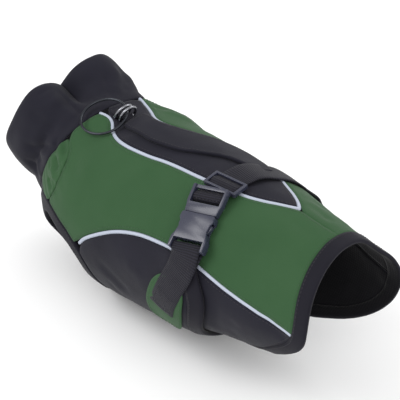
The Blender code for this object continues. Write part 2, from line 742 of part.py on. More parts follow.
def columns_on_form(rows, way=1):
    """Rows of station, angle and underside height as lines of points across a webbing, in metres.

    way is 1 where the webbing runs down the left side, and -1 where it turns back up.
    """
    out = []
    for i, (station, angle, height) in enumerate(rows):
        before, after = rows[max(i - 1, 0)], rows[min(i + 1, len(rows) - 1)]
        run = (after[0] - before[0], (after[1] - before[1]) * FLAT_PER_DEGREE)
        length = math.hypot(*run) * way
        line = ()
        for across in WEBBING_COLUMNS:
            s = station + run[1] / length * across
            a = angle - run[0] / length * across / FLAT_PER_DEGREE
            line += tuple(wrapped(s, a, height + WEBBING / 2 + tab_lift(s, a)))
        out.append(line)
    return out


def columns_in_frame(rows, frame):
    """The same across a webbing's middle line of x and z in a hard piece's frame."""
    out = []
    for x, z in rows:
        line = ()
        for across in WEBBING_COLUMNS:
            line += tuple(frame @ Vector((x * MM, across * MM, z * MM)))
        out.append(line)
    return out


def webbing(name, lines, step):
    """A length of webbing whose middle surface runs through lines of points across it."""
    count = len(WEBBING_COLUMNS)
    lines = curve_through(lines, step * MM * math.sqrt(count))
    places = [[Vector(line[3 * k:3 * k + 3]) for k in range(count)] for line in lines]
    work = bmesh.new()
    rings = []
    for i, place in enumerate(places):
        before, after = places[max(i - 1, 0)], places[min(i + 1, len(places) - 1)]
        upper, under = [], []
        for k in range(count):
            along = after[k] - before[k]
            across = place[min(k + 1, count - 1)] - place[max(k - 1, 0)]
            out = along.cross(across).normalized() * (WEBBING / 2 * MM)
            upper.append(work.verts.new(place[k] + out))
            under.append(work.verts.new(place[k] - out))
        rings.append(upper + under[::-1])
    for ring, after in zip(rings, rings[1:]):
        for k in range(len(ring)):
            k2 = (k + 1) % len(ring)
            work.faces.new((ring[k], ring[k2], after[k2], after[k]))
    work.faces.new(rings[0])
    work.faces.new(rings[-1])
    return keep(name, mesh_of(work, name), black_tape)


def girth_webbing():
    slider = seat(SLIDER_PLACE, SLIDER_RUN, SLIDER_TILT)
    buckle = seat(BUCKLE_PLACE, BUCKLE_RUN)
    lines = columns_on_form(GIRTH)
    lines += columns_in_frame(GIRTH_IN_SLIDER, slider)
    lines += columns_in_frame(GIRTH_IN_LOCK, buckle)
    return webbing("girth_webbing", lines, 4.0)


def tab_webbing():
    buckle = seat(BUCKLE_PLACE, BUCKLE_RUN)
    lines = columns_on_form(TAIL_START, -1)
    lines += columns_in_frame(TAIL_IN_CATCH, buckle)
    lines += columns_on_form(TAIL_END)
    return webbing("tab_webbing", lines, 4.0)


def plate(name, outline, body, frame):
    """A flat moulded body in its frame: an outline of x and y, with its edges rounded."""
    low, high, rounding = body
    work = bmesh.new()
    face = work.faces.new([work.verts.new((x * MM, y * MM, low * MM)) for x, y in outline])
    raised = bmesh.ops.extrude_face_region(work, geom=[face], use_keep_orig=True)
    for item in raised["geom"]:
        if isinstance(item, bmesh.types.BMVert):
            item.co.z = high * MM
    part = keep(name, mesh_of(work, name), black_acetal)
    part.matrix_world = frame
    edges = part.modifiers.new("rounded_edges", "BEVEL")
    edges.width = rounding * MM
    edges.segments = 2
    edges.limit_method = "ANGLE"
    return part


def mirrored(rows):
    """A whole outline from the rows of its +Y half."""
    return list(rows) + [(x, -y) for x, y in reversed(rows)]


def combine(part, other, operation):
    """Joins another body to a part or cuts it away, and puts that body with the cutters."""
    for collection in other.users_collection:
        collection.objects.unlink(other)
    bpy.data.collections[CUTTERS].objects.link(other)
    other.hide_render = True
    other.display_type = "WIRE"
    step = part.modifiers.new(other.name, "BOOLEAN")
    step.operation = operation
    step.object = other


def cut_boxes(part, frame, boxes):
    """Cuts boxes out of a part: each is its low and high x, half its width, and its low and high z."""
    for number, (x1, x2, half, z1, z2) in enumerate(boxes, 1):
        work = bmesh.new()
        size = Matrix.Diagonal(((x2 - x1) * MM, 2 * half * MM, (z2 - z1) * MM, 1.0))
        middle = Matrix.Translation(Vector((x1 + x2, 0.0, z1 + z2)) * MM / 2)
        bmesh.ops.create_cube(work, size=1.0, matrix=middle @ size)
        name = f"{part.name}_cut_{number}"
        cutter = bpy.data.objects.new(name, mesh_of(work, name))
        cutter.matrix_world = frame
        combine(part, cutter, "DIFFERENCE")


def buckle_male():
    """The ladder lock with its tongue and two prongs."""
    frame = seat(BUCKLE_PLACE, BUCKLE_RUN)
    part = plate("buckle_male", mirrored(LOCK_OUTLINE), LOCK_BODY, frame)
    fork = plate("buckle_fork", mirrored(FORK_OUTLINE), FORK_BODY, frame)
    combine(part, fork, "UNION")
    cut_boxes(part, frame, (
        # low_x, high_x, half_width, low_z, high_z
        (-23.7, -19.2, SLOT_HALF, -5, 12),
        (-16.6, -11.8, SLOT_HALF, -5, 12),
        (-30.0, -23.6, SLOT_HALF, -5, 1.9),
        (-30.0, -23.6, SLOT_HALF, 4.4, 12),
        (-19.3, -16.5, SLOT_HALF, 3.2, 12),
    ))
    return part


def buckle_female():
    """The body that the prongs catch in, with a bar for the lower webbing."""
    frame = seat(BUCKLE_PLACE, BUCKLE_RUN)
    part = plate("buckle_female", mirrored(CATCH_OUTLINE), CATCH_BODY, frame)
    cut_boxes(part, frame, (
        # low_x, high_x, half_width, low_z, high_z
        (-6.0, 13.0, 12.6, 1.7, 5.8),
        (2.4, 11.9, 20.0, 1.7, 5.8),
        (18.4, 22.5, SLOT_HALF, -5, 12),
        (22.4, 30.0, SLOT_HALF, 3.8, 12),
        (22.4, 30.0, SLOT_HALF, -5, 1.2),
    ))
    return part


def slider():
    """The slider that keeps the webbing's length, tilted with the webbing."""
    frame = seat(SLIDER_PLACE, SLIDER_RUN, SLIDER_TILT)
    part = plate("slider", mirrored(SLIDER_OUTLINE), SLIDER_BODY, frame)
    cut_boxes(part, frame, (
        # low_x, high_x, half_width, low_z, high_z
        (-5.9, -1.2, SLOT_HALF, 0, 12),
        (1.2, 5.9, SLOT_HALF, 0, 12),
        (-10.0, -5.8, SLOT_HALF, 0, 5.3),
        (5.8, 10.0, SLOT_HALF, 0, 5.3),
        (-1.3, 1.3, SLOT_HALF, 5.4, 12),
    ))
    return part


def dring(name, station):
    """A D of wire whose origin is the middle of its bar, leaning toward the tail."""
    frame = seat((station, DRING_ANGLE, DRING_SEAT), (1.0, 0.0), -DRING_LEAN)
    straight = DRING_HALF - DRING_CORNER
    corner = []
    for n in range(1, 5):
        turn = math.radians(90 * n / 4)
        corner.append((straight + DRING_CORNER * math.sin(turn), DRING_CORNER * (1 - math.cos(turn))))
    bow = []
    for n in range(13):
        turn = math.radians(180 * n / 12)
        bow.append((DRING_HALF * math.cos(turn), DRING_RISE - DRING_HALF + DRING_HALF * math.sin(turn)))
    bar = [(straight * n / 3, 0.0) for n in (-3, -1, 1, 3)]
    outline = bar + corner + bow + [(-y, z) for y, z in reversed(corner)]
    places = [Vector((0.0, y, z)) * MM for y, z in outline]
    return cord_object(name, places, DRING_WIRE, nickel, True, frame)


def loop_height(station):
    """The underside of the D-rings' tape: down on the panel, and over each bar."""
    low = CLOTH + LAID_ON
    height = low
    for bar in DRING_STATIONS:
        away = min(abs(station - bar) / LOOP_HUMP_LENGTH, 1.0)
        height += (LOOP_HUMP - low) * (0.5 + 0.5 * math.cos(math.pi * away))
    return height


def dring_loop():
    start, end = LOOP_ENDS
    count = round((end - start) / 0.9)
    path = [(start + (end - start) * n / count, DRING_ANGLE * FLAT_PER_DEGREE) for n in range(count + 1)]
    half = LOOP_HALF_WIDTH
    section = ((-half, 0.0), (half, 0.0), (half, LOOP_TAPE), (-half, LOOP_TAPE))
    return ribbon("dring_loop", path, black_tape, section, lift=lambda station, angle: loop_height(station))


def ring_frame():
    """The leash ring's hinge: X along its wire between the D-rings, Y to the ring's centre."""
    out = Vector(RING_OUT).normalized()
    level = (Vector((1.0, 0.0, 0.0)) - out * out.x).normalized()
    inward = -(Matrix.Rotation(math.radians(RING_TURN), 3, out) @ level)
    frame = Matrix((inward.cross(out), inward, out)).transposed().to_4x4()
    frame.translation = Vector(RING_HINGE) * MM
    return frame


def leash_ring():
    places = []
    for n in range(48):
        turn = math.tau * n / 48
        places.append(Vector((math.sin(turn), 1 - math.cos(turn), 0.0)) * RING_RADIUS * MM)
    return cord_object("leash_ring", places, RING_WIRE, dark_steel, True, ring_frame())


def collar_form(along, angle):
    """A point of the collar's middle surface, in mm."""
    _, lean, half_width, rise, fall = row_at(COLLAR, along)
    neck, lean, around = math.radians(NECK_LEAN), math.radians(lean), math.radians(angle)
    turned = (angle + 180) % 360 - 180
    at = turned * FLAT_PER_DEGREE
    fold = fold_height(COLLAR_FOLDS, along, at) * ease(along, 0, 16)
    fold += fold_height(BODY_FOLDS, NECK_STATION, at) * (1 - 0.6 * ease(along, 20, 52))
    centre_x = NECK_STATION - along * math.cos(neck)
    centre_z = BODY[0][1] + along * math.sin(neck)
    up = ((rise if math.cos(around) > 0 else fall) + fold) * math.cos(around)
    side = (half_width + fold) * math.sin(around)
    return Vector((centre_x + up * math.sin(lean), -side, centre_z + up * math.cos(lean)))


def collar():
    """The collar's wall section carried round the neck."""
    work = bmesh.new()
    rings = []
    for i in range(COLLAR_SIDES):
        angle = 360 * i / COLLAR_SIDES
        ring = []
        for along, height in COLLAR_WALL:
            centre = collar_form(along, angle)
            outward = collar_form(along, angle + 0.5) - collar_form(along, angle - 0.5)
            neck = collar_form(along - 0.5, angle) - collar_form(along + 0.5, angle)
            normal = outward.cross(neck).normalized()
            ring.append(work.verts.new((centre + normal * height) * MM))
        rings.append(ring)
    count = len(COLLAR_WALL)
    for ring, after in zip(rings, rings[1:] + rings[:1]):
        for k in range(count):
            k2 = (k + 1) % count
            work.faces.new((ring[k], ring[k2], after[k2], after[k]))
    return keep("collar", mesh_of(work, "collar"), black_cloth, 60.0)


def build():
    spine_panel()
    for name, side in (("left", 1), ("right", -1)):
        side_panel("side_panel_" + name, side)
        gather_strip("neck_gather_" + name, side)
        flank_flap("flank_flap_" + name, side)
        leg_binding("leg_binding_" + name, side)
        lower_piping("lower_piping_" + name, side)
    belly_panel()
    rear_binding()
    band_binding()
    spine_piping()
    harness_strip()
    strap_tab()
    girth_webbing()
    tab_webbing()
    collar()
    buckle_male()
    buckle_female()
    slider()
    dring("dring_front", DRING_STATIONS[0])
    dring("dring_rear", DRING_STATIONS[1])
    dring_loop()
    leash_ring()


def clear_scene():
    for old in list(bpy.data.objects):
        bpy.data.objects.remove(old, do_unlink=True)
    for name in (COLLECTION, CUTTERS):
        bpy.context.scene.collection.children.link(bpy.data.collections.new(name))


clear_scene()
build()
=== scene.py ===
# %% [markdown]
# # A dog's softshell coat
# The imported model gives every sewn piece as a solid, in metres: head toward -X, tail toward +X, and
# the coat's left side toward -Y. Those solids are coarse on purpose. Each cell below takes one kind of
# piece and gives it the surface, the wrinkles and the finish that the real one has.

# %% The frame
import math

import bmesh
import bpy
import numpy as np
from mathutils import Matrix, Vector, noise
from mathutils.bvhtree import BVHTree


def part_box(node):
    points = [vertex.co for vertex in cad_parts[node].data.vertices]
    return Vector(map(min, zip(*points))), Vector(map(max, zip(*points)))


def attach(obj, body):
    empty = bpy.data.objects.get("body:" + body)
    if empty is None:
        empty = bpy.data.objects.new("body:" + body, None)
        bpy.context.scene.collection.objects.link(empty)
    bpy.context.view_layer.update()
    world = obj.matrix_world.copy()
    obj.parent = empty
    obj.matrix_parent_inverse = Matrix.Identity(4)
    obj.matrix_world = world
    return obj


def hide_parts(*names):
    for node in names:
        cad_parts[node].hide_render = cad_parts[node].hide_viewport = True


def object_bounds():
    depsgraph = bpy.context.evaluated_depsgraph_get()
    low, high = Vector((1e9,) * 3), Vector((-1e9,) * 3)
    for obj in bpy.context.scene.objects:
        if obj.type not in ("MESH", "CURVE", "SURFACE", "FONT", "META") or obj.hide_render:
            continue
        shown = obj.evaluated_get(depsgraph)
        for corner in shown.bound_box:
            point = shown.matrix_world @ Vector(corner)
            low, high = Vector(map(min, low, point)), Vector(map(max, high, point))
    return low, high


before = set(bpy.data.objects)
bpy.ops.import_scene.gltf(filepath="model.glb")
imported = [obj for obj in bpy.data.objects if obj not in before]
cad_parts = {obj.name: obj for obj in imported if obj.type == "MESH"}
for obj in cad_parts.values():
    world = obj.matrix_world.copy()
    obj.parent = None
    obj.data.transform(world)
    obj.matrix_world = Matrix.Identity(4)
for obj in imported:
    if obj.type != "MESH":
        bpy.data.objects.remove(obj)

MM = 0.001
CAD_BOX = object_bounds()
print("solids:", len(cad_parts), "box in mm:", [round((b - a) / MM, 1) for a, b in zip(*CAD_BOX)])

# %% [markdown]
# ## The camera
# A catalogue photo of a small thing is taken from a step back with a long lens, which keeps the near
# and far ends alike in size. Azimuth and elevation place the camera on a ball around the coat. The
# focal length is a share of the sensor's width, and was fitted to the photo.

# %% The camera
VIEW_AZIMUTH = math.radians(48)
VIEW_ELEVATION = math.radians(33)
VIEW_DISTANCE = 1.3
VIEW_TARGET = Vector((20, 0, -55.6)) * MM
SENSOR_MM = 36.0
FOCAL_SHARE = 4.128
camera_data = bpy.data.cameras.new("camera")
camera_data.sensor_width = SENSOR_MM
camera_data.lens = FOCAL_SHARE * SENSOR_MM
camera_data.shift_x, camera_data.shift_y = -0.0175, 0.055
camera = bpy.data.objects.new("camera", camera_data)
bpy.context.collection.objects.link(camera)
toward_camera = Vector((
    math.sin(VIEW_AZIMUTH) * math.cos(VIEW_ELEVATION),
    -math.cos(VIEW_AZIMUTH) * math.cos(VIEW_ELEVATION),
    math.sin(VIEW_ELEVATION),
))
camera.location = VIEW_TARGET + toward_camera * VIEW_DISTANCE
camera.rotation_mode = "QUATERNION"
camera.rotation_quaternion = (-toward_camera).to_track_quat("-Z", "Y")
bpy.context.scene.camera = camera
print("lens in mm:", round(camera_data.lens, 1))

# %% [markdown]
# ## Building materials in code
# A shader is a small graph. One function is enough to build any of them: it adds a node, sets its
# options, and fills each input with a value or a link. Colours are chosen as the sRGB hex values that
# an eye or a colour picker gives, and turned to the linear values that the shader works in.

# %% Helpers for materials
WAVE_PERIOD = math.pi / 10


def add(tree, kind, settings=None, inputs=None):
    """Adds a node with its settings, and fills its inputs with values or links."""
    node = tree.nodes.new(kind)
    for key, value in (settings or {}).items():
        setattr(node, key, value)
    for key, value in (inputs or {}).items():
        if isinstance(value, bpy.types.NodeSocket):
            tree.links.new(value, node.inputs[key])
        else:
            node.inputs[key].default_value = value
    return node


def linear(hex_colour):
    """An sRGB hex colour as linear RGBA."""
    out = []
    for k in (1, 3, 5):
        c = int(hex_colour[k:k + 2], 16) / 255
        out.append(c / 12.92 if c <= 0.04045 else ((c + 0.055) / 1.055) ** 2.4)
    return (*out, 1.0)


def blank(name):
    """A new material with an empty graph."""
    made = bpy.data.materials.new(name)
    made.use_nodes = True
    made.node_tree.nodes.clear()
    return made, made.node_tree


def finish_with(tree, inputs):
    """Ends a graph in a Principled shader with these inputs."""
    shader = add(tree, "ShaderNodeBsdfPrincipled", inputs=inputs)
    add(tree, "ShaderNodeOutputMaterial", inputs={"Surface": shader.outputs["BSDF"]})


def per_mm(size):
    """The Noise texture scale whose lumps are about this many mm, on coordinates in metres."""
    return 1 / (size * MM)


print("a mid green:", [round(c, 3) for c in linear("#456C48")[:3]])

# %% [markdown]
# ## Softshell, its fleece and its tapes
# Softshell is a tight polyester weave bonded to fleece, so it is matt, with a faint sheen where the
# light grazes it. Its threads are a third of a millimetre apart, which is too fine to see here: the
# weave is drawn at 1.1 mm, the finest that still shows. A slow noise shifts the shade a little, as
# handling does, and a middle-sized one gives the small dents that every worn cloth has.

# %% Woven cloth
WEAVE_MM = 1.1
SHADE_LUMP_MM = 34
DENT_LUMP_MM = 7
DENT_DEPTH = 0.6 * MM


def woven(name, dark, light, roughness, sheen, weave=WEAVE_MM, depth=0.12, dents=0.25):
    """A cloth whose weave follows the piece's UV map and whose shade drifts across it."""
    made, tree = blank(name)
    place = add(tree, "ShaderNodeTexCoord")
    across = add(tree, "ShaderNodeUVMap", {"uv_map": "cloth"})
    drift = add(tree, "ShaderNodeTexNoise", inputs={
        "Vector": place.outputs["Object"], "Scale": per_mm(SHADE_LUMP_MM), "Detail": 3.0})
    shade = add(tree, "ShaderNodeMix", {"data_type": "RGBA"}, {
        "Factor": drift.outputs["Fac"], "A": linear(dark), "B": linear(light)})
    threads = []
    for direction in ("X", "Y"):
        threads.append(add(tree, "ShaderNodeTexWave", {"bands_direction": direction}, {
            "Vector": across.outputs["UV"], "Scale": WAVE_PERIOD / (weave * MM),
            "Distortion": 0.6}).outputs["Fac"])
    weave_height = add(tree, "ShaderNodeMath", {"operation": "MULTIPLY"}, {
        0: threads[0], 1: threads[1]})
    dent = add(tree, "ShaderNodeTexNoise", inputs={
        "Vector": place.outputs["Object"], "Scale": per_mm(DENT_LUMP_MM), "Detail": 4.0,
        "Roughness": 0.55})
    soft = add(tree, "ShaderNodeBump", inputs={
        "Height": dent.outputs["Fac"], "Strength": dents, "Distance": DENT_DEPTH})
    fine = add(tree, "ShaderNodeBump", inputs={
        "Height": weave_height.outputs["Value"], "Strength": 0.5, "Distance": depth * MM,
        "Normal": soft.outputs["Normal"]})
    finish_with(tree, {
        "Base Color": shade.outputs["Result"], "Normal": fine.outputs["Normal"], "Roughness": roughness,
        "Specular IOR Level": 0.15, "Sheen Weight": sheen, "Sheen Roughness": 0.45})
    return made


FINISHES = {
    "green_softshell": woven("green_softshell_weave", "#2A4A2C", "#335234", 0.72, 0.05),
    "black_softshell": woven("black_softshell_weave", "#15151D", "#1E1D28", 0.74, 0.06),
    "fleece_lining": woven("black_fleece_lining", "#0B0B0E", "#121116", 0.95, 0.1, 2.4, 0.3, 0.5),
    "binding_tape": woven("black_binding_tape", "#121119", "#1B1A23", 0.8, 0.05, 0.9, 0.1, 0.15),
}
print("cloths:", ", ".join(FINISHES))

# %% [markdown]
# ## Webbing
# Nylon webbing is woven thick, and shows as ribs that run straight across it. They only look right if
# they follow the strap as it bends, so the ribs read a UV map whose first axis runs along the strap.
# The colour also carries painted shade: darker in the furrow between ribs and lighter on each crest.

# %% Webbing
RIB_MM = 1.7
RIB_DEPTH = 0.35 * MM
FURROWS_TO_RIBS = 1.2


def ribbed(name, dark, light):
    """Webbing with ribs across its length, a furrow between the threads along it, and painted shade:
    darker between the ribs, lighter on their crests.
    """
    made, tree = blank(name)
    along = add(tree, "ShaderNodeUVMap", {"uv_map": "cloth"})
    rib = add(tree, "ShaderNodeTexWave", {"bands_direction": "X"}, {
        "Vector": along.outputs["UV"], "Scale": WAVE_PERIOD / (RIB_MM * MM), "Distortion": 0.8})
    furrow = add(tree, "ShaderNodeTexWave", {"bands_direction": "Y"}, {
        "Vector": along.outputs["UV"], "Scale": WAVE_PERIOD / (FURROWS_TO_RIBS * RIB_MM * MM),
        "Distortion": 0.5})
    height = add(tree, "ShaderNodeMath", {"operation": "MULTIPLY_ADD"}, {
        0: furrow.outputs["Fac"], 1: 0.3, 2: rib.outputs["Fac"]})
    # painted shade: the colour follows the rib's height, dark in the furrows and light on the crests
    shade = add(tree, "ShaderNodeMix", {"data_type": "RGBA"}, {
        "Factor": rib.outputs["Fac"], "A": linear(dark), "B": linear(light)})
    bump = add(tree, "ShaderNodeBump", inputs={
        "Height": height.outputs["Value"], "Strength": 0.8, "Distance": RIB_DEPTH})
    finish_with(tree, {
        "Base Color": shade.outputs["Result"], "Normal": bump.outputs["Normal"], "Roughness": 0.62,
        "Specular IOR Level": 0.18, "Sheen Weight": 0.04})
    return made


# the dark colour is the painted shade in the furrows, the light one the painted light on the rib crests
FINISHES["webbing"] = ribbed("nylon_webbing", "#0F0E15", "#201F2A")
print("rib pitch in mm:", RIB_MM)

# %% [markdown]
# ## Piping, plastic and metal
# The piping is a cord in a wrapper of silver reflective tape, satin and cool grey. The buckle is
# moulded acetal: near black, smooth, with soft highlights and a very fine grain. The D-rings are
# nickel plated, and the leash ring is a darker plate. Metals keep the default IOR.

# %% Smooth materials
HANDLED_LUMP_MM = 9
GLOSSIER = 0.06
DULLER = 0.08


def moulded(name, colour, roughness, metallic, grain_mm, grain_depth):
    """A hard or satin surface with a fine grain in its normals and a little change in its gloss."""
    made, tree = blank(name)
    place = add(tree, "ShaderNodeTexCoord")
    grain = add(tree, "ShaderNodeTexNoise", inputs={
        "Vector": place.outputs["Object"], "Scale": per_mm(grain_mm), "Detail": 2.0})
    handled = add(tree, "ShaderNodeTexNoise", inputs={
        "Vector": place.outputs["Object"], "Scale": per_mm(HANDLED_LUMP_MM), "Detail": 3.0})
    gloss = add(tree, "ShaderNodeMapRange", inputs={
        "Value": handled.outputs["Fac"], "To Min": roughness - GLOSSIER, "To Max": roughness + DULLER})
    bump = add(tree, "ShaderNodeBump", inputs={
        "Height": grain.outputs["Fac"], "Strength": 0.4, "Distance": grain_depth * MM})
    finish_with(tree, {
        "Base Color": linear(colour), "Metallic": metallic, "Roughness": gloss.outputs["Result"],
        "Normal": bump.outputs["Normal"]})
    return made


FINISHES["piping"] = moulded("reflective_piping_tape", "#A9B0BF", 0.45, 0.0, 0.8, 0.05)
FINISHES["acetal"] = moulded("moulded_acetal", "#2E3040", 0.27, 0.0, 0.5, 0.02)
FINISHES["nickel"] = moulded("nickel_plate", "#8E8F94", 0.28, 1.0, 1.5, 0.01)
FINISHES["dark_plate"] = moulded("dark_nickel_plate", "#3B3D42", 0.34, 1.0, 1.5, 0.01)
FINISHES["thread"] = moulded("polyester_thread", "#201F25", 0.6, 0.0, 0.3, 0.05)
FINISHES["green_thread"] = moulded("green_polyester_thread", "#2B4A2E", 0.6, 0.0, 0.3, 0.05)
print("finishes:", len(FINISHES))

# %% [markdown]
# ## Where things are on the coat
# A coat is a bent tube, so a place on it is easiest to give as a station along the back in mm and an
# angle in degrees: 0 is the top and 90 the coat's left side. A ray from the tube's axis finds the
# cloth there. Past the neck seam the axis climbs along the collar, and so do the stations.

# %% Places on the coat
AXIS = (
    # station_mm, z_mm
    (-120, -46.6), (-75, -66.6), (0, -73.6), (80, -67.6), (190, -56.0),
)
AXIS_X = [row[0] * MM for row in AXIS]
AXIS_Z = [row[1] * MM for row in AXIS]
NECK_RISE = math.radians(25)
NECK = np.array([AXIS_X[0], 0.0, AXIS_Z[0]])
NECK_WAY = np.array([-math.cos(NECK_RISE), 0.0, math.sin(NECK_RISE)])
WELD = 0.01 * MM
RAY_START = 120 * MM
RAY_MISS = 60 * MM


def welded(node):
    """A CAD node's loose triangles as one bmesh of joined faces."""
    work = bmesh.new()
    work.from_mesh(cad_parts[node].data)
    bmesh.ops.remove_doubles(work, verts=work.verts, dist=WELD)
    return work


def cloth_tree(also=()):
    """A search tree over the body's cloth and the collar, and other nodes if they are named."""
    whole = bmesh.new()
    for node in ("spine_panel", "side_panel_left", "side_panel_right", "belly_panel", "collar",
                 "flank_flap_left", "flank_flap_right", "neck_gather_left", "neck_gather_right", *also):
        whole.from_mesh(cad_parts[node].data)
    return BVHTree.FromBMesh(whole)


CLOTH_TREE = cloth_tree()


def on_coat(station, angle):
    """The cloth's outer face at a station in mm and an angle in degrees, in metres."""
    turn = math.radians(angle)
    if station < AXIS[0][0]:
        start = Vector(NECK + NECK_WAY * (AXIS[0][0] - station) * MM)
        up = Vector((math.sin(NECK_RISE), 0.0, math.cos(NECK_RISE)))
    else:
        start = Vector((station * MM, 0.0, float(np.interp(station * MM, AXIS_X, AXIS_Z))))
        up = Vector((0.0, 0.0, 1.0))
    way = up * math.cos(turn) - Vector((0.0, 1.0, 0.0)) * math.sin(turn)
    hit = CLOTH_TREE.ray_cast(start + way * RAY_START, -way)[0]
    return hit if hit and (hit - start).dot(way) > 0 else start + way * RAY_MISS


def outward(points):
    """The way out of the coat at each point of an N x 3 array, as unit rows."""
    out = points.copy()
    out[:, 0] = 0.0
    out[:, 2] -= np.interp(points[:, 0], AXIS_X, AXIS_Z)
    past_neck = (points - NECK) @ NECK_WAY
    from_neck_axis = points - NECK - past_neck[:, None] * NECK_WAY
    out[past_neck > 0] = from_neck_axis[past_neck > 0]
    return out / np.linalg.norm(out, axis=1)[:, None]


print("the back at mid length, mm:", [round(c / MM, 1) for c in on_coat(0, 0)])

# %% [markdown]
# ## Creases, one by one
# The solids carry the large folds. The smaller creases are placed here one by one, where the photo
# shows them and, unevenly, on the side it hides: each is a soft trough or ridge from one place to
# another. Every cloth piece is moved by the same field, so what lies on a panel stays on it, and the
# field fades out around the buckle, slider and rings, which are rigid.

# %% The creases
CREASES = (
    # station_1, angle_1, station_2, angle_2, depth_mm (+ out), half_breadth_mm
    (-99, 57, -76, 60, -0.8, 4), (-96, 68, -72, 70, -0.7, 4), (-95, 79, -76, 80, -0.7, 4),
    (-98, -58, -74, -60, -0.7, 4), (-96, -72, -73, -70, -0.9, 5),
    (-30, 96, 12, 110, -1.1, 5), (-20, 106, -4, 132, -1.0, 4), (6, 84, 30, 88, 0.8, 6),
    (-28, -98, 14, -106, -1.0, 5), (-14, -110, 2, -136, -0.9, 5), (10, -86, 28, -92, 0.7, 6),
    (86, 80, 76, 112, -1.4, 4), (96, 84, 90, 118, 1.0, 5), (120, 92, 108, 116, -1.0, 6),
    (88, -82, 80, -110, -1.2, 5), (104, -88, 94, -116, 0.9, 5),
    (-60, 48, -6, 52, -0.6, 9), (-30, 34, 24, 40, 0.5, 8), (84, 46, 128, 40, -0.9, 8),
    (92, 28, 140, 22, 0.6, 7), (-58, -44, -4, -50, -0.8, 8), (-20, -60, 34, -66, 0.6, 9),
    (116, -5, 152, -5, -0.7, 3), (108, -20, 142, -15, -1.2, 4), (98, -28, 128, -36, -1.0, 5),
    (112, -34, 150, -30, 0.9, 5), (118, 6, 148, 12, -0.7, 5), (78, -44, 120, -52, -0.9, 6),
    (-66, 3, -12, 4, -0.6, 5), (-100, 2, -88, 12, -0.8, 4),
    (-152, 34, -124, 30, -1.8, 6), (-160, 62, -126, 54, -1.5, 5), (-150, 88, -124, 96, -1.3, 5),
    (-158, -8, -128, -4, -1.6, 6), (-160, -38, -128, -36, -1.5, 6), (-156, -70, -126, -64, -1.6, 5),
    (-148, -104, -124, -98, -1.2, 5), (-128, 12, -126, 64, -1.3, 4), (-130, -22, -127, -72, -1.2, 4),
    (-142, 44, -140, 92, 1.2, 5), (-144, -30, -141, -84, 1.1, 5), (-138, 120, -132, 168, -1.4, 5),
    (-140, -124, -134, -166, -1.3, 5), (-158, 16, -146, 48, 1.2, 5),
    # the collar's sharp folds: from its notch to the rings, down its far lobe, and over the throat
    (-164, 30, -122, 24, -2.4, 3), (-156, 37, -126, 34, 1.4, 3), (-163, 31, -162, 47, -0.9, 2),
    (-154, -22, -122, -6, -1.9, 3), (-162, -11, -132, 10, -1.0, 4), (-156, -34, -126, -18, 1.2, 4),
    (-106, 50, -146, 94, -2.6, 3), (-112, 62, -144, 102, 1.2, 4), (-146, 106, -126, 122, -1.8, 3),
    (-138, 100, -122, 112, 1.3, 3), (-110, -54, -144, -98, -2.2, 3), (-114, -68, -142, -108, 1.2, 4),
    # the gathers beside the neck seam
    (-110, 52, -94, 57, -2.2, 3), (-109, 60, -93, 63, 1.6, 3), (-109, 68, -93, 69, -2.4, 3),
    (-108, 77, -93, 76, 1.5, 3), (-108, 86, -93, 84, -2.0, 3), (-110, -54, -94, -58, -2.0, 3),
    (-109, -64, -93, -66, 1.4, 3), (-108, -75, -93, -76, -2.2, 3), (-108, -88, -93, -86, 1.4, 3),
    # the far side of the withers, and the flaps
    (-84, -28, -62, -44, -1.5, 4), (-72, -26, -42, -40, 1.0, 4), (-42, -36, -18, -46, -1.2, 4),
    (-22, -34, 4, -42, -0.9, 4), (-98, 44, -66, 58, -0.9, 5), (168, -72, 186, -92, 1.6, 4),
    (152, -88, 180, -104, -1.6, 4), (140, 78, 172, 96, -1.1, 5),
)
CREASE_PARTS = 5
CREASE_FADE = 0.3
LUMP_MM = 16.0
LUMP_HEIGHT_MM = 0.35
COLLAR_LUMP_HEIGHT_MM = 0.8
COLLAR_LUMP_RUN = 12 * MM
RIGID_NODES = ("buckle_male", "buckle_female", "slider", "dring_loop")
RIGID_REACH = 20 * MM
RIGID_FADE = 18 * MM


def smooth(value):
    """0 below 0, 1 above 1, and a smooth rise between them."""
    value = np.clip(value, 0.0, 1.0)
    return value * value * (3 - 2 * value)


def crease_lines():
    """Each crease as points on the cloth, with its depth and half breadth in metres."""
    made = []
    for station_1, angle_1, station_2, angle_2, depth, breadth in CREASES:
        line = []
        for n in range(CREASE_PARTS + 1):
            t = n / CREASE_PARTS
            station = station_1 + (station_2 - station_1) * t
            line.append(on_coat(station, angle_1 + (angle_2 - angle_1) * t))
        made.append((np.array(line), depth * MM, breadth * MM))
    return made


CREASE_LINES = crease_lines()
RIGID_PLACES = [np.array(sum((Vector(c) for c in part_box(n)), Vector()) / 2) for n in RIGID_NODES]


def crease_height(points):
    """How far the creases move each point out, in metres."""
    height = np.zeros(len(points))
    for line, depth, breadth in CREASE_LINES:
        nearest = np.full(len(points), np.inf)
        along = np.zeros(len(points))
        for n, (a, b) in enumerate(zip(line, line[1:])):
            run = b - a
            t = np.clip((points - a) @ run / (run @ run), 0.0, 1.0)
            away = np.linalg.norm(points - a - t[:, None] * run, axis=1)
            closer = away < nearest
            nearest[closer] = away[closer]
            along[closer] = (n + t[closer]) / CREASE_PARTS
        ends = smooth(along / CREASE_FADE) * smooth((1 - along) / CREASE_FADE)
        height += depth * ends * np.exp(-((nearest / breadth) ** 2))
    return height


def settle(points):
    """Moves an N x 3 array of cloth points by the creases and the cloth's small lumps."""
    past_neck = (points - NECK) @ NECK_WAY
    more = COLLAR_LUMP_HEIGHT_MM - LUMP_HEIGHT_MM
    size = LUMP_HEIGHT_MM + more * smooth(past_neck / COLLAR_LUMP_RUN)
    lumps = np.array([noise.noise(Vector(p) / (LUMP_MM * MM)) for p in points])
    height = crease_height(points) + lumps * size * MM
    for place in RIGID_PLACES:
        away = np.linalg.norm(points - place, axis=1)
        height *= smooth((away - RIGID_REACH) / RIGID_FADE)
    return points + outward(points) * height[:, None]


print("creases:", len(CREASE_LINES))

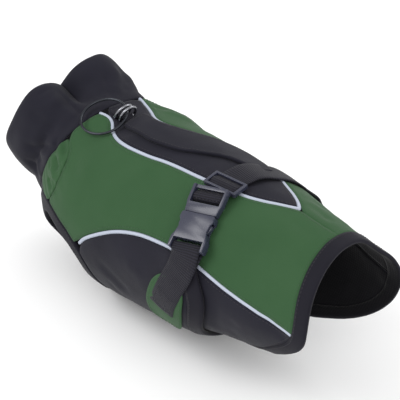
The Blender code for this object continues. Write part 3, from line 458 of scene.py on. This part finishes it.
# %% [markdown]
# ## From a solid to cloth
# A welded copy of the solid is a good cage. Its rim is creased so that the cut edge stays where the
# pattern has it, and Subdivision Surface rounds the rest. The result is made plain, settled into its
# creases, and given a UV map unrolled from the tube: metres along the back, and metres round it. Faces
# that look into the coat get the black fleece lining, which is all that shows inside. Subdividing
# also shrinks a piece, and light would show through the seams: sewn pieces overlap, so each is made
# about half a millimetre larger all round. What only lies on a panel has no such seam and stays.

# %% Making a cloth piece
RIM_ANGLE = math.radians(50)
RIM_CREASE = 0.85
SEAM_SWELL = 0.45 * MM
LAID_NODES = ("harness_strip", "strap_tab")
UNROLL_RADIUS = 71.6 * MM
INWARD = -0.35
QUAD_BEND = math.radians(30)
QUAD_SKEW = math.radians(50)
LEVELS = 2


def mesh_of(work, name):
    """Ends a bmesh as a plain mesh."""
    mesh = bpy.data.meshes.new(name)
    work.to_mesh(mesh)
    work.free()
    return mesh


def in_scene(name, data):
    """A new object, put in the scene."""
    made = bpy.data.objects.new(name, data)
    bpy.context.collection.objects.link(made)
    return made


def plain(source):
    """An object's mesh with its modifiers applied. The object is removed."""
    graph = bpy.context.evaluated_depsgraph_get()
    made = bpy.data.meshes.new_from_object(source.evaluated_get(graph))
    bpy.data.objects.remove(source)
    return made


def prepare_cage(work):
    """Joins triangles into quads where they are flat enough, and creases the rims."""
    bmesh.ops.join_triangles(
        work, faces=work.faces, angle_face_threshold=QUAD_BEND, angle_shape_threshold=QUAD_SKEW)
    crease = work.edges.layers.float.new("crease_edge")
    for edge in work.edges:
        if edge.calc_face_angle(0) > RIM_ANGLE:
            edge[crease] = RIM_CREASE


def caged(node):
    """The welded copy as a cage."""
    work = welded(node)
    prepare_cage(work)
    return mesh_of(work, node + "_cage")


def subdivided(mesh):
    """The mesh after Subdivision Surface, as a plain mesh."""
    cage = in_scene(mesh.name, mesh)
    modifier = cage.modifiers.new("subdivision", "SUBSURF")
    modifier.levels = modifier.render_levels = LEVELS
    return plain(cage)


def points_of(mesh):
    """The mesh's points as an N x 3 array."""
    flat = np.zeros(len(mesh.vertices) * 3)
    mesh.vertices.foreach_get("co", flat)
    return flat.reshape(-1, 3)


def unroll(mesh):
    """Writes the UV map: metres along the back, and metres round the tube."""
    layer = mesh.uv_layers.new(name="cloth")
    points = points_of(mesh)
    out = outward(points)
    turn = np.arctan2(-out[:, 1], out[:, 2])
    for face in mesh.polygons:
        first = turn[face.vertices[0]]
        for loop in face.loop_indices:
            vertex = mesh.loops[loop].vertex_index
            angle = turn[vertex] + math.tau * round((first - turn[vertex]) / math.tau)
            layer.data[loop].uv = (points[vertex][0], angle * UNROLL_RADIUS)


def line_inside(mesh):
    """Gives the second material to faces that look into the coat."""
    centres = np.array([face.center for face in mesh.polygons])
    normals = np.array([face.normal for face in mesh.polygons])
    inward = np.einsum("ij,ij->i", outward(centres), normals) < INWARD
    mesh.polygons.foreach_set("material_index", inward.astype(np.int32))


def make_piece(name, mesh, node, body, finishes):
    """Puts a finished mesh in the scene as the piece that stands for a node."""
    mesh.materials.clear()
    for finish in finishes:
        mesh.materials.append(FINISHES[finish])
    mesh.shade_smooth()
    piece = in_scene(name, mesh)
    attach(piece, body)
    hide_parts(node)
    return piece


def cloth_piece(node, finish):
    """A cloth node subdivided, settled, unrolled and lined."""
    mesh = subdivided(caged(node))
    points = points_of(mesh)
    if node not in LAID_NODES:
        points += np.array([v.normal for v in mesh.vertices]) * SEAM_SWELL
    mesh.vertices.foreach_set("co", settle(points).ravel())
    mesh.update()
    unroll(mesh)
    piece = make_piece(node + "_cloth", mesh, node, "coat", (finish, "fleece_lining"))
    line_inside(mesh)
    return piece


# %% The cloth pieces
CLOTH_NODES = (
    # node, finish, record slot
    ("spine_panel", "black_softshell", "black_softshell"),
    ("side_panel_left", "green_softshell", "green_softshell"),
    ("side_panel_right", "green_softshell", "green_softshell"),
    ("neck_gather_left", "green_softshell", "green_softshell"),
    ("neck_gather_right", "green_softshell", "green_softshell"),
    ("flank_flap_left", "black_softshell", "black_softshell"),
    ("flank_flap_right", "black_softshell", "black_softshell"),
    ("belly_panel", "black_softshell", "black_softshell"),
    ("collar", "black_softshell", "black_softshell"),
    ("harness_strip", "black_softshell", "black_softshell"),
    ("strap_tab", "green_softshell", "green_softshell"),
    ("hem_binding", "binding_tape", "black_tape"),
    ("belly_binding", "binding_tape", "black_tape"),
    ("leg_binding_left", "binding_tape", "black_tape"),
    ("leg_binding_right", "binding_tape", "black_tape"),
)
PIECES = {node: cloth_piece(node, finish) for node, finish, slot in CLOTH_NODES}
print("cloth pieces:", len(PIECES), "faces:", sum(len(p.data.polygons) for p in PIECES.values()))

# %% [markdown]
# ## Webbing straps
# A strap's solid is a row of rings from one cut end to the other. Walking from an end ring to the next
# one numbers them, and the distance walked becomes the first axis of the UV map, so that the ribs stay
# square to the strap where it bends round the coat. Where the solid stands off the cloth, the rings
# are first drawn in, each whole, so that the strap keeps its width and thickness.

# %% Walking along a strap
END_CORNERS = 4
END_FLATNESS = 0.3 * MM
END_SPARE = 1.02


def middle_of(points):
    """The middle of some points."""
    return sum((v.co for v in points), Vector()) / len(points)


def cut_end(work):
    """The corners of one cut end: only there do three sharp edges meet."""
    corners = []
    for vert in work.verts:
        if sum(edge.calc_face_angle(0) > RIM_ANGLE for edge in vert.link_edges) >= 3:
            corners.append(vert)
    first = corners[0].co
    return sorted(corners, key=lambda v: (v.co - first).length)[:END_CORNERS]


def walk(work):
    """The strap's rings of points, from one cut end to the other."""
    corners = cut_end(work)
    middle = middle_of(corners)
    square = (corners[0].co - middle).cross(corners[1].co - middle).normalized()
    reach = max((v.co - middle).length for v in corners) * END_SPARE
    ring = {
        v for v in work.verts
        if abs((v.co - middle).dot(square)) < END_FLATNESS and (v.co - middle).length < reach
    }
    rings, seen = [], set()
    while ring:
        rings.append(ring)
        seen |= ring
        ring = {e.other_vert(v) for v in ring for e in v.link_edges} - seen
    return rings


# %% Drawing a strap in
STRAP_BED = cloth_tree(("spine_piping", "lower_piping_left", "lower_piping_right", "hem_binding"))
SNUG_REACH = 15 * MM
SNUG_GAP = 0.8 * MM


def snug(rings):
    """Draws the rings in where the strap stands off the cloth, away from the hardware."""
    spare, outs = [], []
    for ring in rings:
        out = Vector(outward(np.array([middle_of(ring)]))[0])
        gaps = [STRAP_BED.ray_cast(v.co, -out, SNUG_REACH)[3] for v in ring]
        near = min(np.linalg.norm(np.array(middle_of(ring)) - place) for place in RIGID_PLACES)
        free = min((gap for gap in gaps if gap is not None), default=0.0) - SNUG_GAP
        spare.append(max(free, 0.0) * float(smooth((near - RIGID_REACH) / RIGID_FADE)))
        outs.append(out)
    least = [min(spare[max(n - 1, 0):n + 2]) for n in range(len(spare))]
    for n, (ring, out) in enumerate(zip(rings, outs)):
        drawn = float(np.mean(least[max(n - 2, 0):n + 3]))
        for vert in ring:
            vert.co -= out * drawn


def measured(rings):
    """Each ring as how far along the strap it is, its middle, and the way across it."""
    rows = []
    for ring in rings:
        centre = middle_of(ring)
        across = max((v.co - centre for v in ring), key=lambda way: way.length).normalized()
        if rows and across.dot(rows[-1][2]) < 0:
            across = -across
        travelled = rows[-1][0] + (centre - rows[-1][1]).length if rows else 0.0
        rows.append((travelled, centre, across))
    return rows


def strap_piece(node):
    """A strap drawn in, subdivided and settled, with a UV map along and across it, and its rings."""
    work = welded(node)
    rings = walk(work)
    snug(rings)
    rows = measured(rings)
    place = {}
    for ring, (travelled, centre, across) in zip(rings, rows):
        place.update({v: (travelled, (v.co - centre).dot(across)) for v in ring})
    prepare_cage(work)
    layer = work.loops.layers.uv.new("cloth")
    for face in work.faces:
        for loop in face.loops:
            loop[layer].uv = place[loop.vert]
    mesh = subdivided(mesh_of(work, node + "_cage"))
    mesh.vertices.foreach_set("co", settle(points_of(mesh)).ravel())
    mesh.update()
    print(node, "length in mm:", round(rows[-1][0] / MM, 1), "rings:", len(rows))
    return make_piece(node + "_strap", mesh, node, "coat", ("webbing",)), rows


# %% The webbing
STRAP_ROWS = {}
for node in ("girth_webbing", "tab_webbing", "dring_loop"):
    PIECES[node], STRAP_ROWS[node] = strap_piece(node)

# %% [markdown]
# ## Cords and rings
# A piping or a ring is a tube with few sides in the model. Subdividing it makes it round, and thinner,
# because a smooth curve cuts a polygon's corners. Moving each point out along its own normal by the
# amount lost puts the real diameter back.

# %% Pipings and rings
ROUND_NODES = (
    # node, finish, record slot, body, put_back_mm
    ("spine_piping", "piping", "reflective_piping", "coat", 0.24),
    ("lower_piping_left", "piping", "reflective_piping", "coat", 0.24),
    ("lower_piping_right", "piping", "reflective_piping", "coat", 0.24),
    ("dring_front", "nickel", "nickel", "front_ring", 0.07),
    ("dring_rear", "nickel", "nickel", "rear_ring", 0.07),
    ("leash_ring", "dark_plate", "dark_steel", "leash_ring_body", 0.07),
)


def round_piece(node, finish, slot, body, put_back):
    """A tube made round at its real diameter. The inner side of a piping is lined."""
    mesh = subdivided(caged(node))
    points = points_of(mesh)
    if body == "coat":
        points = settle(points)
    normals = np.array([v.normal for v in mesh.vertices])
    mesh.vertices.foreach_set("co", (points + normals * put_back * MM).ravel())
    mesh.update()
    if body != "coat":
        return make_piece(node + "_round", mesh, node, body, (finish,))
    piece = make_piece(node + "_round", mesh, node, body, (finish, "fleece_lining"))
    line_inside(mesh)
    return piece


for row in ROUND_NODES:
    PIECES[row[0]] = round_piece(*row)
print("round pieces:", len(ROUND_NODES))

# %% [markdown]
# ## Stitches
# A lockstitch shows as a row of short threads, three or four to the centimetre, along each sewn edge.
# Their line is the rim of a cut piece moved in by a seam's width, laid on the finished cloth. Geometry
# Nodes resample the line and put a small thread on every point, which one tree does for every seam.

# %% The line of a seam
FACES_OUT = 0.6
SHORTEST_CHAIN = 4
CHAIN_STEP = 1.5 * MM
LIFT = 0.05 * MM


def rim_points(node, inset, rim_angle):
    """Points inside a piece's rim on its outer face, in metres, one chain for each rim."""
    work = welded(node)
    spots = {}
    for edge in work.edges:
        if len(edge.link_faces) != 2 or edge.calc_face_angle() < rim_angle:
            continue
        centre = (edge.verts[0].co + edge.verts[1].co) / 2
        out = Vector(outward(np.array([centre]))[0])
        faces = sorted(edge.link_faces, key=lambda face: -face.normal.dot(out))
        if faces[0].normal.dot(out) > FACES_OUT:
            for vert in edge.verts:
                spots.setdefault(vert, []).append((edge, faces[1].normal.copy()))
    chains = []
    while spots:
        ends = [v for v, met in spots.items() if len(met) == 1]
        here = ends[0] if ends else next(iter(spots))
        chain, closed = [], not ends
        while here in spots:
            met = spots.pop(here)
            side = sum((normal for _, normal in met), Vector()).normalized()
            chain.append(here.co - side * inset * MM)
            here = next((e.other_vert(here) for e, _ in met if e.other_vert(here) in spots), None)
        if len(chain) >= SHORTEST_CHAIN:
            chains.append(chain + chain[:1] if closed else chain)
    return chains


def on_finished(piece, chain):
    """The chain as close points on the finished cloth, just proud of it."""
    mesh = piece.data
    tree = BVHTree.FromPolygons([v.co for v in mesh.vertices], [f.vertices for f in mesh.polygons])
    out = []
    for a, b in zip(chain, chain[1:]):
        count = max(1, round((b - a).length / CHAIN_STEP))
        for n in range(count):
            spot = a.lerp(b, n / count)
            start = Vector(settle(np.array([spot]))[0])
            place, normal = tree.find_nearest(start)[:2]
            out.append(place + normal * LIFT)
    return out


print("rims of the harness strip:", len(rim_points("harness_strip", 2.0, RIM_ANGLE)))

# %% The stitching tree
def stitch_tree():
    """Geometry Nodes: a thread on every point of a line, spaced along it."""
    tree = bpy.data.node_groups.new("lockstitch", "GeometryNodeTree")
    tree.interface.new_socket("Geometry", in_out="INPUT", socket_type="NodeSocketGeometry")
    for name in ("Spacing", "Length", "Thickness"):
        tree.interface.new_socket(name, in_out="INPUT", socket_type="NodeSocketFloat")
    tree.interface.new_socket("Thread", in_out="INPUT", socket_type="NodeSocketMaterial")
    tree.interface.new_socket("Geometry", in_out="OUTPUT", socket_type="NodeSocketGeometry")
    given = add(tree, "NodeGroupInput")
    line = add(tree, "GeometryNodeMeshToCurve", inputs={"Mesh": given.outputs["Geometry"]})
    spots = add(tree, "GeometryNodeCurveToPoints", {"mode": "LENGTH"}, {
        "Curve": line.outputs["Curve"], "Length": given.outputs["Spacing"]})
    thread = add(tree, "GeometryNodeMeshUVSphere", inputs={"Segments": 6, "Rings": 5, "Radius": 0.5})
    size = add(tree, "ShaderNodeCombineXYZ", inputs={
        "X": given.outputs["Thickness"], "Y": given.outputs["Thickness"], "Z": given.outputs["Length"]})
    placed = add(tree, "GeometryNodeInstanceOnPoints", inputs={
        "Points": spots.outputs["Points"], "Instance": thread.outputs["Mesh"],
        "Rotation": spots.outputs["Rotation"], "Scale": size.outputs["Vector"]})
    real = add(tree, "GeometryNodeRealizeInstances", inputs={"Geometry": placed.outputs["Instances"]})
    dyed = add(tree, "GeometryNodeSetMaterial", inputs={
        "Geometry": real.outputs["Geometry"], "Material": given.outputs["Thread"]})
    add(tree, "NodeGroupOutput", inputs={"Geometry": dyed.outputs["Geometry"]})
    return tree


STITCH_TREE = stitch_tree()
STITCH_MM = 3.0
THREAD_LENGTH_MM = 2.2
THREAD_MM = 0.5


def stitched(name, chains, thread):
    """One piece of stitches along lines of points."""
    work = bmesh.new()
    for chain in chains:
        verts = [work.verts.new(p) for p in chain]
        for a, b in zip(verts, verts[1:]):
            work.edges.new((a, b))
    line = in_scene(name + "_line", mesh_of(work, name + "_line"))
    modifier = line.modifiers.new("stitches", "NODES")
    modifier.node_group = STITCH_TREE
    sockets = {s.name: s.identifier for s in STITCH_TREE.interface.items_tree if s.in_out == "INPUT"}
    modifier[sockets["Spacing"]] = STITCH_MM * MM
    modifier[sockets["Length"]] = THREAD_LENGTH_MM * MM
    modifier[sockets["Thickness"]] = THREAD_MM * MM
    modifier[sockets["Thread"]] = FINISHES[thread]
    made = plain(line)
    made.shade_smooth()
    piece = in_scene(name, made)
    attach(piece, "coat")
    return piece


# %% The seams
SEAMS = (
    # node, inset_mm, rim_angle_deg, thread, record slot
    ("harness_strip", 2.2, 50, "thread", "black_softshell"),
    ("strap_tab", 2.2, 50, "green_thread", "green_softshell"),
    ("spine_panel", 2.0, 50, "thread", "black_softshell"),
    ("side_panel_left", 2.0, 50, "green_thread", "green_softshell"),
    ("side_panel_right", 2.0, 50, "green_thread", "green_softshell"),
    ("flank_flap_left", 2.0, 50, "thread", "black_softshell"),
    ("flank_flap_right", 2.0, 50, "thread", "black_softshell"),
    ("hem_binding", 1.6, 70, "thread", "black_tape"),
    ("belly_binding", 1.6, 70, "thread", "black_tape"),
    ("leg_binding_left", 1.6, 70, "thread", "black_tape"),
    ("leg_binding_right", 1.6, 70, "thread", "black_tape"),
)
for node, inset, rim_angle, thread, slot in SEAMS:
    rims = rim_points(node, inset, math.radians(rim_angle))
    chains = [on_finished(PIECES[node], rim) for rim in rims]
    sewn = stitched(node + "_stitches", chains, thread)
    print(sewn.name, "lines:", len(chains), "faces:", len(sewn.data.polygons))

# %% [markdown]
# ## Box stitches
# Webbing is held at its sewn end by a box of stitches with a cross in it. The box is drawn in the
# strap's own measure, along and across, and laid on the finished strap.

# %% Box stitches
BOX_LONG_MM = 17.0
BOX_HALF_MM = 9.0
BOX_FROM_END_MM = 4.0
STRAP_PROUD_MM = 1.5


def strap_spot(rows, along, across):
    """A place just outside a strap, from how far along and across it, in metres."""
    n = max(1, next((k for k, row in enumerate(rows) if row[0] >= along), len(rows) - 1))
    near, far = rows[n - 1], rows[n]
    t = (along - near[0]) / (far[0] - near[0])
    spot = near[1].lerp(far[1], t) + near[2].lerp(far[2], t) * across
    return spot + Vector(outward(np.array([spot]))[0]) * STRAP_PROUD_MM * MM


def box_stitches(node, end):
    """A box with a cross in it, at the first or the last end of a strap."""
    rows = STRAP_ROWS[node]
    near, far = BOX_FROM_END_MM * MM, (BOX_FROM_END_MM + BOX_LONG_MM) * MM
    if end == "last":
        near, far = rows[-1][0] - near, rows[-1][0] - far
    half = BOX_HALF_MM * MM
    places = ((near, -half), (near, half), (far, half), (far, -half))
    a, b, c, d = [strap_spot(rows, along, across) for along, across in places]
    box = on_finished(PIECES[node], [a, b, c, d, a, c])
    cross = on_finished(PIECES[node], [b, d])
    return stitched("{}_box_{}".format(node, end), [box, cross], "thread")


for node in ("girth_webbing", "tab_webbing"):
    for end in ("first", "last"):
        sewn = box_stitches(node, end)
        print(sewn.name, "faces:", len(sewn.data.polygons))

# %% [markdown]
# ## The moulded hardware
# The buckle's two halves and the slider keep the solids' shape. A moulding has no sharp edge, so each
# edge gets a small round one, which is what catches the light.

# %% Hardware
EDGE_MM = 0.55
EDGE_STEPS = 3
EDGE_ANGLE = math.radians(32)
FLAT_ANGLE = math.radians(1)


def moulded_piece(node):
    """A hard piece at its solid's shape, with rounded edges."""
    work = welded(node)
    bmesh.ops.dissolve_limit(work, angle_limit=FLAT_ANGLE, verts=work.verts, edges=work.edges)
    mesh = mesh_of(work, node + "_block")
    mesh.shade_smooth()
    block = in_scene(node + "_block", mesh)
    modifier = block.modifiers.new("rounded", "BEVEL")
    modifier.width = EDGE_MM * MM
    modifier.segments = EDGE_STEPS
    modifier.limit_method = "ANGLE"
    modifier.angle_limit = EDGE_ANGLE
    modifier.harden_normals = True
    return make_piece(node + "_moulded", plain(block), node, "coat", ("acetal",))


for node in ("buckle_male", "buckle_female", "slider"):
    PIECES[node] = moulded_piece(node)
    print(node, "faces:", len(PIECES[node].data.polygons))

# %% [markdown]

# %% [markdown]
# ## The studio
# A pale floor just under the coat, a white surround, and three broad soft lamps: one high on the
# camera's left, one on its right to open the shadows, and one behind to draw the far edge.

# %% The studio
FLOOR_GAP = 2 * MM
LIGHTS = (
    # name, x, y, z (m), size (m), watts
    ("key", -0.7, -1.1, 1.3, 1.0, 17.0),
    ("fill", 1.2, -0.5, 0.8, 1.2, 8.0),
    ("rim", 0.2, 1.2, 1.0, 0.9, 8.0),
)
WORLD_STRENGTH = 0.75
FLOOR_HALF = 6.0
floor_grid = bmesh.new()
bmesh.ops.create_grid(floor_grid, x_segments=1, y_segments=1, size=FLOOR_HALF)
floor = in_scene("floor", mesh_of(floor_grid, "floor"))
floor.location.z = CAD_BOX[0].z - FLOOR_GAP
paper, paper_tree = blank("matt_white_paper")
finish_with(paper_tree, {"Base Color": linear("#FCFCFC"), "Roughness": 0.95})
floor.data.materials.append(paper)
for name, x, y, z, size, watts in LIGHTS:
    area = bpy.data.lights.new(name, "AREA")
    area.size = size
    area.energy = watts
    lamp = in_scene(name, area)
    lamp.location = (x, y, z)
    lamp.rotation_mode = "QUATERNION"
    lamp.rotation_quaternion = (VIEW_TARGET - lamp.location).to_track_quat("-Z", "Y")
world = bpy.data.worlds.new("studio")
world.use_nodes = True
world.node_tree.nodes["Background"].inputs["Color"].default_value = linear("#FFFFFF")
world.node_tree.nodes["Background"].inputs["Strength"].default_value = WORLD_STRENGTH
bpy.context.scene.world = world
bpy.context.scene.view_settings.view_transform = "Standard"
print("lamps:", len(LIGHTS))
